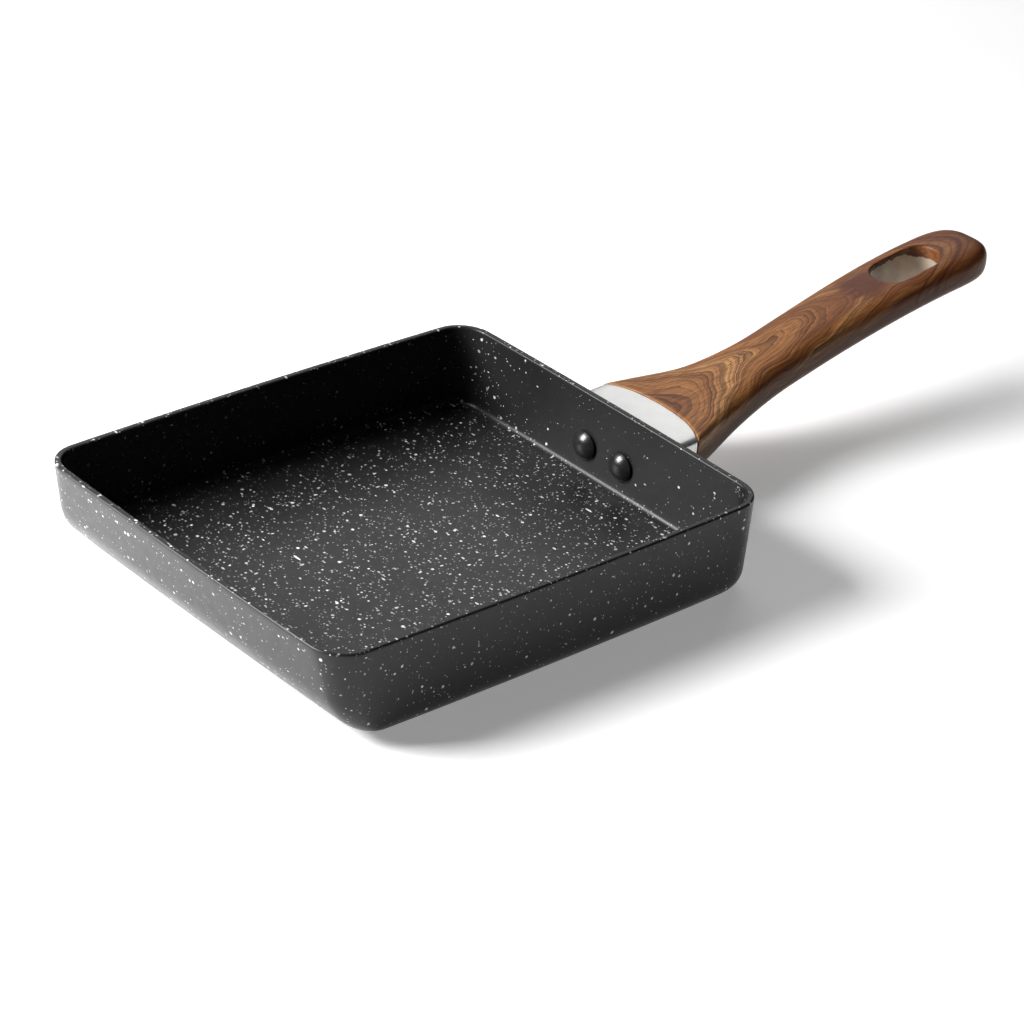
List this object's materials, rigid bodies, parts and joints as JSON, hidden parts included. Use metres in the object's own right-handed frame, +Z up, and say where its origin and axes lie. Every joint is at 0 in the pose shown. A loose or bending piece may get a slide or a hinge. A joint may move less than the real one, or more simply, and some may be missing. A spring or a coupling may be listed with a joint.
{
  "type": "tamagoyaki pan",
  "caption": "Small rectangular rolled-omelette pan with a speckled non-stick coating, a riveted handle bracket, a silver sleeve and a wood-look grip with a hanging hole.",
  "frame": {"origin": "middle of the flat underside, at table height", "axes": "+X from the pan towards the handle, +Y to the left when the handle points away, +Z up"},
  "size_m": [0.3579, 0.1526, 0.0539],
  "materials": {
    "pan_coating": "satin dark grey non-stick coating with pale speckles",
    "rivet_coating": "gloss black coating",
    "bracket_steel": "plain stamped steel",
    "sleeve_metal": "satin silver",
    "grip_wood_look": "satin printed wood grain over moulded heat-resistant plastic",
    "screw_steel": "bright plated steel",
    "washer_steel": "dull plated steel"
  },
  "bodies": {
    "root": {"pan_body": "pan_coating", "rivet_left": "rivet_coating", "rivet_right": "rivet_coating", "bracket": "bracket_steel", "ferrule": "sleeve_metal", "handle_grip": "grip_wood_look", "handle_screw": "screw_steel", "spring_washer": "washer_steel", "flat_washer": "washer_steel"}
  },
  "joints": []
}
